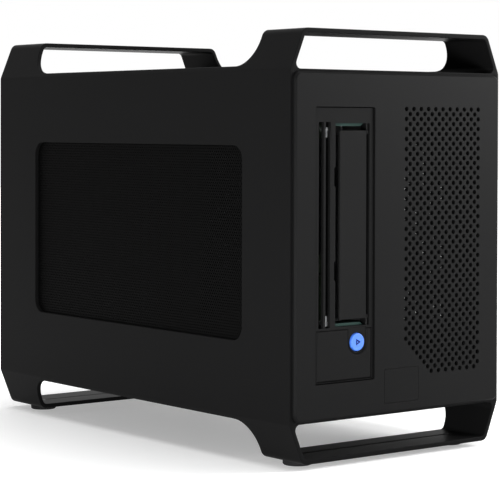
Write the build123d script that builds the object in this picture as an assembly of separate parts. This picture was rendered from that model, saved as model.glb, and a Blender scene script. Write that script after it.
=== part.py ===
from build123d import *
import os
from math import asin, atan2, cos, degrees, hypot, pi, radians, sin, sqrt, tan

# Desktop tape drive. Millimetres. +X to the right seen from the front, the front faces -Y, +Z up.
# The origin is on the floor, in the middle of the footprint.

# Outer case, one aluminium extrusion that runs from front to back
CASE_W = 154.0
CASE_D = 297.0
CASE_H = 232.0
WALL = 2.5
WING_RISE = 22.0          # height of the leaning strips above and below the side walls
WING_LEAN = 9.0           # how far each strip leans in over that height
EDGE_R = 5.0              # outer corners of the top and bottom bars
BEND_R = 4.0              # bends between side walls and leaning strips
CELL_R = 3.0              # inner corners of the handle openings
FRONT_BAND = 34.0         # depth of the front handle and foot
REAR_BAND = 37.0          # depth of the rear handle and foot
BAND_R = 15.0             # curve where a leaning strip runs out into the side wall
LIP = 2.1                 # lip that the side walls keep along the top and bottom panels
WINDOW_FRONT = 41.4       # from the extrusion's front edge to the window
WINDOW_BACK = 43.0        # from the window to the extrusion's rear edge
WINDOW_LOW = 62.8         # from the extrusion's underside to the window
WINDOW_H = 106.5
WINDOW_R = 8.0

# Feet
FOOT_H = 3.0
FOOT_R = 8.0
FOOT_IN_X = 21.0          # from the case's side to a foot's centre
FOOT_IN_Y = 19.0          # from the extrusion's end to a foot's centre
FOOT_SCREW_R = 1.5

# Front plate and its grille
PLATE_T = 2.5
PLATE_IN_X = 1.6          # inset from the case's sides
PLATE_IN_Z = 23.1         # inset from the top and bottom bars
PLATE_R = 4.5
PLATE_CHAMFER = 1.1
HOLE_PITCH = 5.5
HOLE_R = 1.3
GRILLE_RIGHT = 16.0       # least margin from the last column to the plate's right edge
GRILLE_HALF_ROWS = 53     # half-pitch steps from the top row to the bottom row
GRILLE_LEFT = 80.5        # first column, from the case's left side
GRILLE_TOP = 189.4        # first row, from the extrusion's underside
CUT_STEPS = 7             # half-pitch steps of the slanting bottom left corner
BADGE_LEFT = 64.7
BADGE_LOW = 28.4
BADGE_W = 25.2
BADGE_H = 18.6
BADGE_T = 0.7
BADGE_SINK = 0.6
BADGE_GAP = 0.15
STUD_R = 1.5
STUD_L = 5.0
NUT_R = 3.0
STUD_IN = 4.6             # from the case's inner wall to a stud
NUT_T = 2.4

# Drive bay in the front plate, for a half-height 5.25 inch drive on its side
BAY_LEFT = 15.35
BAY_LOW = 42.2
BAY_W = 42.2
BAY_H = 148.0
BAY_R = 1.2
BEZEL_GAP = 0.4
BEZEL_RECESS = 1.0

# Frames and sheets
FRAME_T = 1.2
FRAME_W = 8.0
FRAME_D = 12.0
MESH_T = 0.8
MESH_LAP = 6.0
REAR_RECESS = 9.0
PANEL_T = 1.5
CLEAR = 0.3               # between pieces of different bodies
FIT = 0.05                # radial running clearance of shafts
M3_R = 1.5
M3_HEAD_R = 2.8
M3_HEAD_T = 1.8

# Drive body
DRIVE_T = 41.3
DRIVE_H = 146.0
DRIVE_D = 203.0
COVER_T = 0.8
CAST_T = 2.0
DECK_T = 1.8
DECK_X = 13.4             # the deck's right face, from the bay's left edge
BEZEL_D = 7.5
BEZEL_WALL = 2.0
RIM = 1.2

# Cradle that carries the drive, from the extrusion's front edge
CRADLE_T = 1.6
CRADLE_FOOT = 9.2
CRADLE_FRONT = 14.0
CRADLE_REAR = 206.0

# Drive face, from the bay's left and lower edges
SLOT_1 = (3.1, 6.4)
SLOT_2 = (7.95, 11.0)
SLOT_LOW = 29.7
SLOT_HIGH = 139.8
MOUTH_X = (14.75, 38.9)
MOUTH_Z = (30.0, 139.2)
DOOR_X = (17.9, 36.85)
DOOR_Z = (33.6, 135.4)
DOOR_T = 1.6
PIN_R = 0.4
PIN_X = 37.6
PIN_Y = 1.0
EAR_R = 0.85
EAR_H = 2.0
PANEL_X = (1.7, 40.4)
PANEL_Z = (1.0, 28.3)
PANEL_PROUD = 0.4
PANEL_CHAMFER = 0.8
BUTTON_X = 30.35
BUTTON_Z = 21.1
BUTTON_R = 5.0
BUTTON_TRAVEL = 1.0
TONGUE_R = 6.2

# Tape path, from the bay's left and lower edges and the drive's face
TRAY_FRONT = 21.5
TRAY_D = 70.0
TRAY_WALL = 0.8
TRAY_TRAVEL = 35.0
CARTRIDGE_W = 105.4
CARTRIDGE_T = 21.5
HUB_Y = 74.7
HUB_R = 13.0
REEL_Y = 170.0
REEL_Z = 52.0
REEL_R = 36.0
REEL_HUB_R = 12.0
TAPE_W = 12.65
TAPE_MID_X = 25.6         # the tape's middle, from the bay's left edge
MOTOR_R = 18.0
MOTOR_T = 4.6
ROLLER_R = 5.0
FLANGE_R = 6.3
ROLLER_PIN_R = 1.2
ROLLERS = ((135.0, 136.0), (150.0, 130.0), (186.0, 130.0), (197.0, 108.0))
HEAD_Y = 168.0
HEAD_Z = 125.0
HEAD_TRAVEL = 3.0
LOADER_X = 24.0
LOADER_Z = 13.0
SCREW_R = 2.0
THREADER_Y = 130.0
THREADER_Z = 122.0
THREADER_TRAVEL = 62.0

# Power supply, fans and bridge board
PSU_SIDE = 0.6            # from the cradle's foot to the power supply
PSU_WALL_GAP = 1.5        # from the power supply to the case's right wall
PSU_D = 150.0
PSU_H = 40.5
PSU_WALL = 1.0
PSU_FAN = 36.0
INLET_IN = 24.0           # from the power supply's right side to the inlet's middle
ENTRY_RIB = 1.0           # between the inlet and the switch
FAN_D = 25.0
FAN_Z = 124.0
FAN_IN = 0.5              # from the rear frame's flange to the fan
FAN_SIDE = 14.4           # from the data socket to the fan
FAN_LIP = 2.0             # least wall of a fan's housing
VENT_R = 2.3              # holes over the rear fan, in rings
VENT_START = 5.5
VENT_STEP = 6.0
BLADES = 7
BOARD_X = 36.0            # from the case's left side
BOARD_T = 1.6
INLET_W = 27.0
INLET_H = 20.0
SWITCH_W = 19.0
SWITCH_H = 12.6
USB_W = 3.3
USB_H = 9.0
USB_Z = (92.0, 110.0)
SAS_Z = 140.0
SAS_W = 11.0
SAS_H = 22.0
LOCK_IN = 14.0            # from the case's right side to the lock slot
LOCK_Z = 188.0

# Places worked out from the sizes above
LEFT = -CASE_W / 2
RIGHT = CASE_W / 2
FRONT = -(CASE_D + PLATE_T) / 2
CASE_Y0 = FRONT + PLATE_T
CASE_Y1 = CASE_Y0 + CASE_D
BASE = FOOT_H
TOP = FOOT_H + CASE_H
SLOPE = WING_LEAN / WING_RISE
INNER_L = LEFT + WALL
INNER_R = RIGHT - WALL
WEB_OUT = WING_RISE - 0.2     # from a bar's outer face to the outer face of the panel beside it
FLOOR_Z = BASE + WEB_OUT + WALL
CEIL_Z = TOP - WEB_OUT - WALL
PLATE_Z0 = BASE + PLATE_IN_Z
PLATE_Z1 = TOP - PLATE_IN_Z
BAY_X0 = LEFT + BAY_LEFT
BAY_Z0 = BASE + BAY_LOW
FACE_Y = FRONT + BEZEL_RECESS
REAR_Y = CASE_Y1 - REAR_RECESS
DRIVE_X0 = (BAY_W - DRIVE_T) / 2
DRIVE_X1 = DRIVE_X0 + DRIVE_T
DRIVE_Z0 = (BAY_H - DRIVE_H) / 2
DRIVE_Z1 = DRIVE_Z0 + DRIVE_H
DRIVE_Y1 = BEZEL_D + DRIVE_D
WINDOW_D = CASE_D - WINDOW_FRONT - WINDOW_BACK
GRILLE_SPACE = CASE_W - PLATE_IN_X - GRILLE_RIGHT - GRILLE_LEFT
GRILLE_COLUMNS = int(GRILLE_SPACE / HOLE_PITCH) + 1
PSU_X0 = BAY_X0 + DRIVE_X1 + CRADLE_T + CRADLE_FOOT + PSU_SIDE
PSU_X1 = INNER_R - PSU_WALL_GAP
PORT_X = LEFT + BOARD_X + BOARD_T
FAN_X1 = INNER_R - FRAME_W - FAN_IN
FAN = FAN_X1 - (PORT_X + SAS_W + FAN_SIDE)


# Helpers: boxes from corner to corner, and rods and plates along each axis

def block(x0, x1, y0, y1, z0, z1):
    return Pos((x0 + x1) / 2, (y0 + y1) / 2, (z0 + z1) / 2) * Box(x1 - x0, y1 - y0, z1 - z0)


def bay_block(x0, x1, y0, y1, z0, z1):
    """A box placed from the bay's lower left corner and the drive's face."""
    return block(BAY_X0 + x0, BAY_X0 + x1, FACE_Y + y0, FACE_Y + y1, BAY_Z0 + z0, BAY_Z0 + z1)


def rod_x(y, z, r, x0, x1):
    return Pos((x0 + x1) / 2, y, z) * Rot(0, 90, 0) * Cylinder(r, x1 - x0)


def rod_y(x, z, r, y0, y1):
    return Pos(x, (y0 + y1) / 2, z) * Rot(90, 0, 0) * Cylinder(r, y1 - y0)


def rod_z(x, y, r, z0, z1):
    return Pos(x, y, (z0 + z1) / 2) * Cylinder(r, z1 - z0)


def bay_rod_x(y, z, r, x0, x1):
    return rod_x(FACE_Y + y, BAY_Z0 + z, r, BAY_X0 + x0, BAY_X0 + x1)


def bay_rod_y(x, z, r, y0, y1):
    return rod_y(BAY_X0 + x, BAY_Z0 + z, r, FACE_Y + y0, FACE_Y + y1)


def bay_rod_z(x, y, r, z0, z1):
    return rod_z(BAY_X0 + x, FACE_Y + y, r, BAY_Z0 + z0, BAY_Z0 + z1)


def rect(a0, a1, b0, b1):
    return Pos((a0 + a1) / 2, (b0 + b1) / 2) * Rectangle(a1 - a0, b1 - b0)


def rounded(a0, a1, b0, b1, r):
    return Pos((a0 + a1) / 2, (b0 + b1) / 2) * RectangleRounded(a1 - a0, b1 - b0, r)


def disc(a, b, r):
    return Pos(a, b) * Circle(r)


def xz(sketch, y0, y1):
    """Extrude a sketch drawn in x and z from y0 to y1."""
    plane = Plane(origin=(0, y0, 0), x_dir=(1, 0, 0), z_dir=(0, -1, 0))
    return extrude(plane * sketch, amount=y1 - y0, dir=(0, 1, 0))


def yz(sketch, x0, x1):
    """Extrude a sketch drawn in y and z from x0 to x1."""
    plane = Plane(origin=(x0, 0, 0), x_dir=(0, 1, 0), z_dir=(1, 0, 0))
    return extrude(plane * sketch, amount=x1 - x0, dir=(1, 0, 0))


def xy(sketch, z0, z1):
    """Extrude a sketch drawn in x and y from z0 to z1."""
    return extrude(Plane(origin=(0, 0, z0)) * sketch, amount=z1 - z0, dir=(0, 0, 1))


def screw(x, y, z, direction, length, r=M3_R, head_r=M3_HEAD_R, head_t=M3_HEAD_T):
    """A pan-head screw whose head rests on the point, its shank along the direction."""
    shank = Pos(0, 0, length / 2) * Cylinder(r, length)
    head = Pos(0, 0, -head_t / 2) * Cylinder(head_r, head_t)
    head = chamfer(head.edges().sort_by(Axis.Z)[0], head_t * 0.4)
    cross = Pos(0, 0, -head_t) * (Box(head_r * 1.1, 0.6, 1.2) + Box(0.6, head_r * 1.1, 1.2))
    body = head - cross + shank
    return Plane(origin=(x, y, z), z_dir=direction) * body


def joined(pieces):
    """Several separate solids as one group."""
    solids = []
    for piece in pieces:
        solids += piece.solids()
    return Compound(children=solids)


# Outer case

def case_outline(inset=0.0):
    """Section of the case, or the same outline moved in by inset."""
    lean = WALL_LEAN_STEP * inset
    half = CASE_W / 2 - inset
    bar_half = half - WING_LEAN + lean
    z0, z1 = BASE + inset, TOP - inset
    bend0, bend1 = BASE + WING_RISE, TOP - WING_RISE
    shift = SLOPE_SHIFT * inset
    points = [(-half, bend0 + shift), (-half, bend1 - shift), (-bar_half, z1), (bar_half, z1),
              (half, bend1 - shift), (half, bend0 + shift), (bar_half, z0), (-bar_half, z0)]
    return Polygon(*points, align=None)


# Offsetting the outline keeps the strips' thickness equal to the wall
LEAN_ANGLE = atan2(WING_LEAN, WING_RISE)
SLOPE_SHIFT = tan(LEAN_ANGLE / 2)
WALL_LEAN_STEP = SLOPE - (1 / cos(LEAN_ANGLE) - 1)


def band_cut(top):
    """Side view of what is cut away between the front and the rear band."""
    y0 = CASE_Y0 + FRONT_BAND
    y1 = CASE_Y1 - REAR_BAND
    reach = WING_RISE + 10
    if top:
        z0 = TOP - WEB_OUT + LIP
        shape = rect(y0, y1, z0, z0 + reach)
        corners = shape.vertices().group_by(Axis.Y)[0]
    else:
        z1 = BASE + WEB_OUT - LIP
        shape = rect(y0, y1, z1 - reach, z1)
        corners = shape.vertices().group_by(Axis.Y)[-1]
    return yz(fillet(corners, BAND_R), LEFT - 1, RIGHT + 1)


def foot_places():
    return [(sx * (CASE_W / 2 - FOOT_IN_X), y)
            for y in (CASE_Y0 + FOOT_IN_Y, CASE_Y1 - FOOT_IN_Y) for sx in (-1, 1)]


def cradle_places():
    """Screws of the drive cradle in the floor and the ceiling, x and y."""
    x = BAY_X0 + DRIVE_X1 + CRADLE_T + CRADLE_FOOT / 2
    return [(x, CASE_Y0 + 50.0), (x, CASE_Y0 + 180.0)]




def outer_shell():
    outline = case_outline()
    bars = [v for v in outline.vertices() if abs(v.X) < CASE_W / 2 - WING_LEAN / 2]
    outline = fillet(bars, EDGE_R)
    bends = [v for v in outline.vertices() if abs(abs(v.X) - CASE_W / 2) < 0.01]
    outline = fillet(bends, BEND_R)
    inner = case_outline(WALL)
    web_low = BASE + WEB_OUT
    web_high = TOP - WEB_OUT
    main_cell = rect(INNER_L, INNER_R, FLOOR_Z, CEIL_Z)
    top_cell = inner & rect(LEFT, RIGHT, web_high, TOP)
    low_cell = inner & rect(LEFT, RIGHT, BASE, web_low)
    section = outline - main_cell
    for cell in (top_cell, low_cell):
        section -= fillet(cell.vertices(), CELL_R)
    shell = xz(section, CASE_Y0, CASE_Y1)
    shell -= band_cut(True)
    shell -= band_cut(False)
    y0 = CASE_Y0 + WINDOW_FRONT
    z0 = BASE + WINDOW_LOW
    window = yz(rounded(y0, y0 + WINDOW_D, z0, z0 + WINDOW_H, WINDOW_R), LEFT - 1, RIGHT + 1)
    shell -= window
    for x, y in foot_places():
        shell -= rod_z(x, y, FOOT_SCREW_R + 0.1, BASE - 1, BASE + WALL + 1)
    for x, y in cradle_places():
        shell -= rod_z(x, y, M3_R + 0.1, web_low - 1, FLOOR_Z + 1)
        shell -= rod_z(x, y, M3_R + 0.1, CEIL_Z - 1, web_high + 1)
    return shell


def side_mesh(side):
    """A thin sheet behind a window, with its edge lapped inside the wall."""
    y0 = CASE_Y0 + WINDOW_FRONT - MESH_LAP
    y1 = CASE_Y0 + WINDOW_FRONT + WINDOW_D + MESH_LAP
    z0 = BASE + WINDOW_LOW - MESH_LAP
    z1 = BASE + WINDOW_LOW + WINDOW_H + MESH_LAP
    sheet = rounded(y0, y1, z0, z1, WINDOW_R + MESH_LAP / 2)
    if side < 0:
        return yz(sheet, INNER_L, INNER_L + MESH_T)
    return yz(sheet, INNER_R - MESH_T, INNER_R)


def foot(x, y):
    pad = rod_z(x, y, FOOT_R, 0, FOOT_H)
    pad = chamfer(pad.edges().group_by(Axis.Z)[0], 0.6)
    pad -= rod_z(x, y, M3_HEAD_R + 0.3, -1, FOOT_H - 1.0)
    return pad - rod_z(x, y, FOOT_SCREW_R + 0.1, -1, FOOT_H + 1)


def foot_screws():
    head_z = FOOT_H - 1.0
    length = 1.0 + WALL
    return joined([screw(x, y, head_z, (0, 0, 1), length, FOOT_SCREW_R, M3_HEAD_R, 1.2) for x, y in foot_places()])


# Front plate

def grille_places():
    """Hole centres of the quincunx, with the slanting corner left out."""
    half = HOLE_PITCH / 2
    places = []
    for row in range(GRILLE_HALF_ROWS + 1):
        offset = row % 2
        z = BASE + GRILLE_TOP - row * half
        cut = max(0, row - (GRILLE_HALF_ROWS - CUT_STEPS))
        for column in range(GRILLE_COLUMNS - offset):
            steps = 2 * column + offset
            if steps >= cut:
                places.append((LEFT + GRILLE_LEFT + steps * half, z))
    return places


def stud_places():
    x = CASE_W / 2 - WALL - STUD_IN
    low = FLOOR_Z + STUD_IN
    high = CEIL_Z - STUD_IN
    middle = (low + high) / 2
    return [(sx * x, z) for sx in (-1, 1) for z in (low, middle, high)]


def front_plate():
    x1 = CASE_W / 2 - PLATE_IN_X
    plate = xz(rounded(-x1, x1, PLATE_Z0, PLATE_Z1, PLATE_R), FRONT, CASE_Y0)
    rim = plate.faces().sort_by(Axis.Y)[0].outer_wire().edges()
    plate = chamfer(rim, PLATE_CHAMFER)
    openings = rounded(BAY_X0, BAY_X0 + BAY_W, BAY_Z0, BAY_Z0 + BAY_H, BAY_R)
    openings += [disc(x, z, HOLE_R) for x, z in grille_places()]
    plate -= xz(openings, FRONT, CASE_Y0)
    x0 = LEFT + BADGE_LEFT
    z0 = BASE + BADGE_LOW
    pocket = rounded(x0 - BADGE_GAP, x0 + BADGE_W + BADGE_GAP, z0 - BADGE_GAP, z0 + BADGE_H + BADGE_GAP, 1.2)
    plate -= xz(pocket, FRONT - 1, FRONT + BADGE_SINK)
    for x, z in stud_places():
        plate += rod_y(x, z, STUD_R, CASE_Y0, CASE_Y0 + STUD_L)
    return plate


def badge_plate():
    x0 = LEFT + BADGE_LEFT
    z0 = BASE + BADGE_LOW
    badge = xz(rounded(x0, x0 + BADGE_W, z0, z0 + BADGE_H, 1.05), FRONT + BADGE_SINK - BADGE_T, FRONT + BADGE_SINK)
    rim = badge.faces().sort_by(Axis.Y)[0].outer_wire().edges()
    return chamfer(rim, 0.1)


def ring(y0, y1, width):
    """A ring that fits the inside of the case."""
    outer = rect(INNER_L, INNER_R, FLOOR_Z, CEIL_Z)
    return xz(outer - rect(INNER_L + width, INNER_R - width, FLOOR_Z + width, CEIL_Z - width), y0, y1)


def front_frame():
    frame = ring(CASE_Y0, CASE_Y0 + FRAME_T, FRAME_W) + ring(CASE_Y0, CASE_Y0 + FRAME_D, FRAME_T)
    for x, z in stud_places():
        frame -= rod_y(x, z, STUD_R + 0.1, CASE_Y0 - 1, CASE_Y0 + FRAME_T + 1)
    return frame


def plate_nuts():
    nuts = []
    for x, z in stud_places():
        nut = xz(Pos(x, z) * RegularPolygon(NUT_R, 6), CASE_Y0 + FRAME_T, CASE_Y0 + FRAME_T + NUT_T)
        nuts.append(nut - rod_y(x, z, STUD_R + 0.02, CASE_Y0, CASE_Y0 + 10))
    return joined(nuts)


# Rear panel

def panel_screw_places():
    x = CASE_W / 2 - WALL - STUD_IN
    low = FLOOR_Z + STUD_IN
    high = CEIL_Z - STUD_IN
    return [(-x, low), (-x, high), (x, high), (x, psu_box()[2] + STUD_IN + CLEAR)]


def rear_frame():
    y1 = REAR_Y
    frame = ring(y1 - FRAME_T, y1, FRAME_W) + ring(y1 - FRAME_D, y1, FRAME_T)
    psu_x0, psu_x1, psu_z1 = psu_box()
    frame -= block(psu_x0 - CLEAR, psu_x1 + CLEAR, y1 - FRAME_D - 1, y1 + 1, FLOOR_Z - 1, psu_z1 + CLEAR)
    for x, z in panel_screw_places():
        frame -= rod_y(x, z, M3_R + FIT, y1 - FRAME_T - 1, y1 + 1)
    return frame


def psu_box():
    return PSU_X0, PSU_X1, FLOOR_Z + PSU_H


def inlet_centre():
    return PSU_X1 - INLET_IN, FLOOR_Z + PSU_H / 2


def switch_centre():
    return inlet_centre()[0] - INLET_W / 2 - ENTRY_RIB - SWITCH_W / 2, FLOOR_Z + PSU_H / 2


def fan_centre():
    return FAN_X1 - FAN / 2, BASE + FAN_Z


def rear_panel():
    sheet = rect(INNER_L, INNER_R, FLOOR_Z, CEIL_Z)
    for (x, z), w, h in ((inlet_centre(), INLET_W, INLET_H), (switch_centre(), SWITCH_W, SWITCH_H)):
        sheet -= rect(x - w / 2, x + w / 2, z - h / 2, z + h / 2)
    fx, fz = fan_centre()
    holes = []
    rings = int((FAN / 2 - FAN_LIP - VENT_R - VENT_START) / VENT_STEP)
    for k in range(1, rings + 1):
        radius = VENT_START + k * VENT_STEP
        count = 6 * (k + 1)
        holes += [disc(fx + radius * cos(2 * pi * i / count), fz + radius * sin(2 * pi * i / count), VENT_R)
                  for i in range(count)]
    sheet -= holes
    sheet -= [disc(fx + sx * FAN_HOLE, fz + sz * FAN_HOLE, 2.0) for sx in (-1, 1) for sz in (-1, 1)]
    sheet -= [disc(x, z, M3_R + 0.2) for x, z in panel_screw_places()]
    port_x = PORT_X
    for z in USB_Z:
        z0, z1 = BASE + z - USB_H / 2, BASE + z + USB_H / 2
        sheet -= rounded(port_x - 0.2, port_x + USB_W + 0.2, z0 - 0.2, z1 + 0.2, 1.0)
    sheet -= rect(port_x - 0.2, port_x + SAS_W + 0.2, BASE + SAS_Z - SAS_H / 2 - 0.2, BASE + SAS_Z + SAS_H / 2 + 0.2)
    lock_x = RIGHT - LOCK_IN
    sheet -= rounded(lock_x - 1.5, lock_x + 1.5, BASE + LOCK_Z - 3.5, BASE + LOCK_Z + 3.5, 0.8)
    return xz(sheet, REAR_Y, REAR_Y + PANEL_T)


def rear_panel_screws():
    return joined([screw(x, REAR_Y + PANEL_T, z, (0, -1, 0), 5.0) for x, z in panel_screw_places()])


# Drive cradle

def drive_screw_places():
    """Side holes of the drive, x and y, the same in its upper and lower wall."""
    x = BAY_X0 + DRIVE_X0 + 21.8
    return [(x, FACE_Y + BEZEL_D + 52.3), (x, FACE_Y + BEZEL_D + 131.7)]


def drive_cradle():
    x0 = BAY_X0 + DRIVE_X0 + 8.0
    x1 = BAY_X0 + DRIVE_X1
    y0 = CASE_Y0 + CRADLE_FRONT
    y1 = CASE_Y0 + CRADLE_REAR
    z0 = BAY_Z0 + DRIVE_Z0
    z1 = BAY_Z0 + DRIVE_Z1
    upright = block(x1, x1 + CRADLE_T, y0, y1, FLOOR_Z, CEIL_Z)
    lower = block(x0, x1, y0, y1, z0 - CRADLE_T, z0)
    upper = block(x0, x1, y0, y1, z1, z1 + CRADLE_T)
    low_foot = block(x1, x1 + CRADLE_T + CRADLE_FOOT, y0, y1, FLOOR_Z, FLOOR_Z + CRADLE_T)
    high_foot = block(x1, x1 + CRADLE_T + CRADLE_FOOT, y0, y1, CEIL_Z - CRADLE_T, CEIL_Z)
    cradle = upright + lower + upper + low_foot + high_foot
    vent = rounded(y0 + 30, y1 - 30, z0 + 25, z1 - 25, 8.0)
    cradle -= yz(vent, x1 - 1, x1 + CRADLE_T + 1)
    for x, y in drive_screw_places():
        cradle -= rod_z(x, y, M3_R + 0.1, z0 - CRADLE_T - 1, z1 + CRADLE_T + 1)
    for x, y in cradle_places():
        cradle -= rod_z(x, y, M3_R + 0.1, FLOOR_Z - 1, CEIL_Z + 1)
    return cradle


def cradle_screws():
    screws = []
    for x, y in cradle_places():
        screws.append(screw(x, y, FLOOR_Z + CRADLE_T, (0, 0, -1), CRADLE_T + WALL))
        screws.append(screw(x, y, CEIL_Z - CRADLE_T, (0, 0, 1), CRADLE_T + WALL))
    return joined(screws)


def drive_screws():
    screws = []
    for x, y in drive_screw_places():
        screws.append(screw(x, y, BAY_Z0 + DRIVE_Z0 - CRADLE_T, (0, 0, 1), CRADLE_T + CAST_T))
        screws.append(screw(x, y, BAY_Z0 + DRIVE_Z1 + CRADLE_T, (0, 0, -1), CRADLE_T + CAST_T))
    return joined(screws)


# Drive casing

def cast_x():
    return DRIVE_X0 + COVER_T, DRIVE_X1 - COVER_T


REAR_POWER_Z = 30.0
REAR_DATA_Z = 60.0


def drive_chassis():
    x0, x1 = cast_x()
    y0, y1 = BEZEL_D, DRIVE_Y1
    z0, z1 = DRIVE_Z0, DRIVE_Z1
    body = bay_block(x0, x1, y0, y1, z0, z0 + CAST_T) + bay_block(x0, x1, y0, y1, z1 - CAST_T, z1)
    body += bay_block(x0, x1, y1 - CAST_T, y1, z0, z1)
    deck = bay_block(DECK_X - DECK_T, DECK_X, y0 + 5.0, y1, z0, z1)
    deck -= bay_rod_x(HUB_Y, hub_z(), HUB_R + 1.0, DECK_X - DECK_T - 1, DECK_X + 1)
    deck -= bay_rod_x(REEL_Y, REEL_Z, 3.2, DECK_X - DECK_T - 1, DECK_X + 1)
    deck -= bay_rod_x(HEAD_Y + HEAD_SCREW_OFF, HEAD_Z, HEAD_SCREW_R + 0.4, DECK_X - DECK_T - 1, DECK_X + 1)
    body += deck
    # Ridges that carry the tray, and a post that carries the far end of the loading screw
    for z in (mid_z() - 46.0, mid_z() + 46.0):
        end = TRAY_FRONT + TRAY_D + TRAY_TRAVEL
        body += bay_block(DECK_X, tray_floor() - CLEAR, TRAY_FRONT, end, z - 1.5, z + 1.5)
    post_y = LOADER_END
    body += bay_block(DECK_X, LOADER_X + 4.5, post_y, post_y + 3.0, LOADER_Z - 4.5, LOADER_Z + 4.5)
    body -= bay_rod_y(LOADER_X, LOADER_Z, SCREW_R + FIT, post_y - 1, post_y + 3.0 + 1)
    # Wall of the gap between the deck and the lower side wall, under the loading motor
    body += bay_block(DECK_X, LOADER_X - LOADER_MOTOR_R + 2.0, MOTOR_Y0 + 4, MOTOR_Y1 - 4, LOADER_Z - 5, LOADER_Z + 5)
    body -= bay_rod_y(LOADER_X, LOADER_Z, LOADER_MOTOR_R + FIT, MOTOR_Y0 - 1, MOTOR_Y1 + 1)
    for x, y in drive_screw_places():
        body -= rod_z(x, y, M3_R + FIT, BAY_Z0 + z0 - 1, BAY_Z0 + z1 + 1)
    port = connector_x()
    body -= bay_block(port[0], port[1], y1 - CAST_T - 1, y1 + 1, REAR_POWER_Z - 10.5, REAR_POWER_Z + 10.5)
    body -= bay_block(port[0], port[1], y1 - CAST_T - 1, y1 + 1, REAR_DATA_Z - 12.5, REAR_DATA_Z + 12.5)
    # Posts that carry the button board
    for z in (FRONT_BOARD_Z0 + 2.5, FRONT_BOARD_Z1 - 2.5):
        body += bay_block(DECK_X - DECK_T, FRONT_BOARD_X0 + 4.0, FRONT_BOARD_Y + BOARD_T, y0 + 9.0, z - 2.0, z + 2.0)
    for z in cover_screw_z():
        for y in cover_screw_y():
            body += bay_rod_x(y, z, 3.0, x0, DECK_X - DECK_T / 2)
            body += bay_rod_x(y, z, 3.0, x1 - 5.0, x1)
            body -= bay_rod_x(y, z, 1.05, x0 - 1, x0 + 4)
            body -= bay_rod_x(y, z, 1.05, x1 - 4, x1 + 1)
    return body


def mid_z():
    """Middle of the cartridge mouth above the bay's lower edge."""
    return (MOUTH_Z[0] + MOUTH_Z[1]) / 2


def hub_z():
    return mid_z()


def tray_floor():
    """Left face of the tray's floor."""
    return MOUTH_X[0] - TRAY_WALL + 0.05


def connector_x():
    return DRIVE_X0 + COVER_T + 1.0, DECK_X - DECK_T - 0.5


def cover_screw_y():
    return BEZEL_D + 4.5, DRIVE_Y1 - 6.0


def cover_screw_z():
    return DRIVE_Z0 + 4.5, DRIVE_Z1 - 4.5


LOADER_MOTOR_R = 7.5
MOTOR_Y0 = 21.0
MOTOR_Y1 = 43.0
LOADER_END = 126.0
HEAD_SCREW_OFF = 6.0
HEAD_SCREW_R = 1.5
FRONT_BOARD_Y = 12.4
FRONT_BOARD_Z0 = 9.0
FRONT_BOARD_Z1 = 27.0
FRONT_BOARD_X0 = 19.0
FRONT_BOARD_X1 = 38.5


def drive_cover(left):
    x0, x1 = (DRIVE_X0, DRIVE_X0 + COVER_T) if left else (DRIVE_X1 - COVER_T, DRIVE_X1)
    cover = bay_block(x0, x1, BEZEL_D, DRIVE_Y1, DRIVE_Z0, DRIVE_Z1)
    for z in cover_screw_z():
        for y in cover_screw_y():
            cover -= bay_rod_x(y, z, 1.15, x0 - 1, x1 + 1)
    if left:
        for k in range(7):
            y = 120.0 + k * 10.0
            slit = rounded(FACE_Y + y, FACE_Y + y + 4.0, BAY_Z0 + 20, BAY_Z0 + 60, 1.9)
            cover -= yz(slit, BAY_X0 + x0 - 1, BAY_X0 + x1 + 1)
    return cover


def cover_screws():
    screws = []
    for z in cover_screw_z():
        for y in cover_screw_y():
            at = (FACE_Y + y, BAY_Z0 + z)
            screws.append(screw(BAY_X0 + DRIVE_X0, *at, (1, 0, 0), 3.6, 1.0, 1.8, 0.4))
    return joined(screws)


# Drive face

def drive_bezel():
    g = BEZEL_GAP
    outer = rounded(BAY_X0 + g, BAY_X0 + BAY_W - g, BAY_Z0 + g, BAY_Z0 + BAY_H - g, BAY_R - g / 2)
    bezel = xz(outer, FACE_Y, FACE_Y + BEZEL_D)
    hollow = bay_block(g + RIM, BAY_W - g - RIM, BEZEL_WALL, BEZEL_D + 1, g + RIM, BAY_H - g - RIM)
    # Funnel round the mouth, kept out of the hollow
    funnel = bay_block(MOUTH_X[0] - RIM, MOUTH_X[1] + RIM, 0, BEZEL_D + 1, MOUTH_Z[0] - RIM, MOUTH_Z[1] + RIM)
    bezel -= hollow - funnel
    bezel -= bay_block(*MOUTH_X, -1, BEZEL_D + 1, *MOUTH_Z)
    for x0, x1 in (SLOT_1, SLOT_2):
        bezel -= bay_block(x0, x1, -1, BEZEL_D + 1, SLOT_LOW, SLOT_HIGH)
    # Finger notches in the mouth's left edge
    for z in (60.0, 110.5):
        bezel -= bay_block(MOUTH_X[0] - 0.9, MOUTH_X[0] + 1, -1, 1.2, z - 5.1, z + 5.1)
    # Seat of the button panel, with the tongue that carries the button left standing
    seat_gap = 0.15
    seat = rect(BAY_X0 + PANEL_X[0] - seat_gap, BAY_X0 + PANEL_X[1] + seat_gap,
                BAY_Z0 + PANEL_Z[0] - seat_gap, BAY_Z0 + PANEL_Z[1] + seat_gap)
    seat -= tongue(TONGUE_R)
    bezel -= xz(seat, FACE_Y - 1, FACE_Y + PANEL_SEAT)
    bezel -= xz(tongue(TONGUE_R), FACE_Y - 1, FACE_Y + 0.3)
    bezel -= bay_rod_y(BUTTON_X, BUTTON_Z, BUTTON_R + CLEAR, -1, BEZEL_D + 1)
    for z0, z1 in ((MOUTH_Z[0] - 0.9, MOUTH_Z[0] + 1), (MOUTH_Z[1] - 1, MOUTH_Z[1] + 0.9)):
        bezel -= bay_rod_z(PIN_X, PIN_Y, PIN_R + 0.02, z0, z1)
    return bezel


PANEL_SEAT = 1.4


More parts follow.
